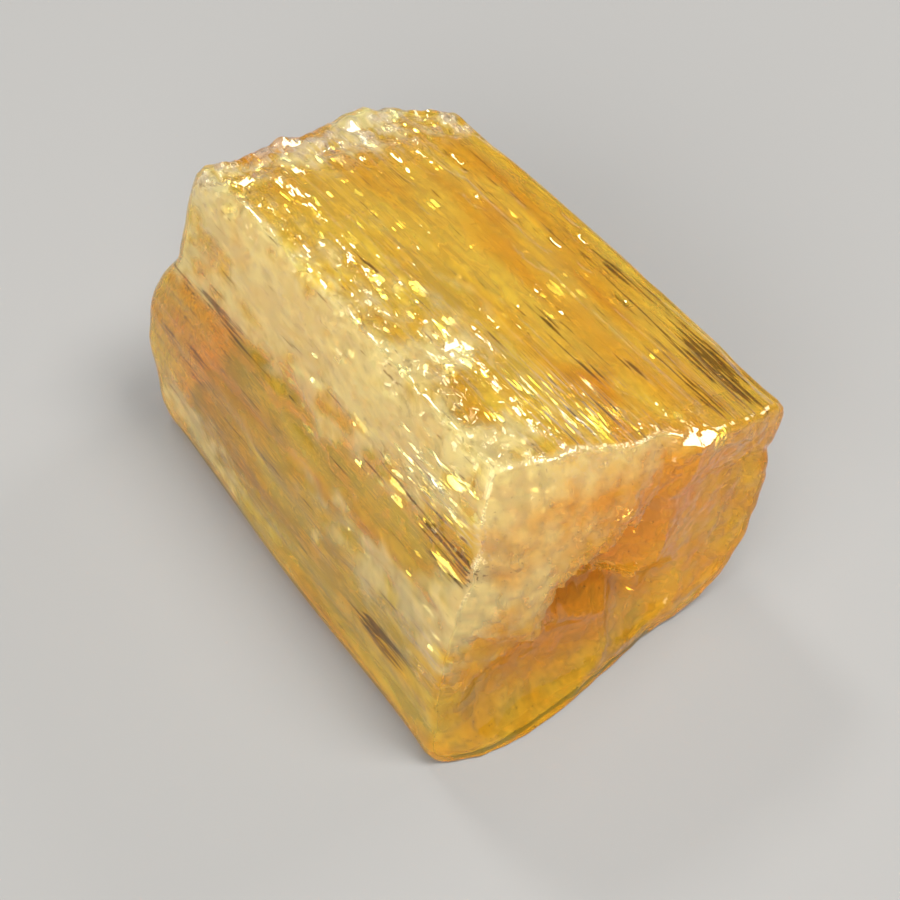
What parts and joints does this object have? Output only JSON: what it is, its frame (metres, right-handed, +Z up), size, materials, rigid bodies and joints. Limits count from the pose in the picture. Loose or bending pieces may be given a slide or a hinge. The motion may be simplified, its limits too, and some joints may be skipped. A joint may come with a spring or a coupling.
{
  "type": "imperial topaz crystal",
  "caption": "Short prismatic topaz crystal, golden orange and clear, grooved lengthwise, with one fresh break; lies on a prism face.",
  "frame": {"origin": "middle of the crystal's bounding box, at the level it rests on", "axes": "+Y along the prism from the fresh break to the worn end, +X across it, +Z up"},
  "size_m": [0.0133, 0.0197, 0.0106],
  "materials": {
    "topaz": "natural golden-orange crystal, clear to milky, grooved faces and conchoidal breaks"
  },
  "bodies": {
    "root": {"topaz_crystal": "topaz"}
  },
  "joints": []
}
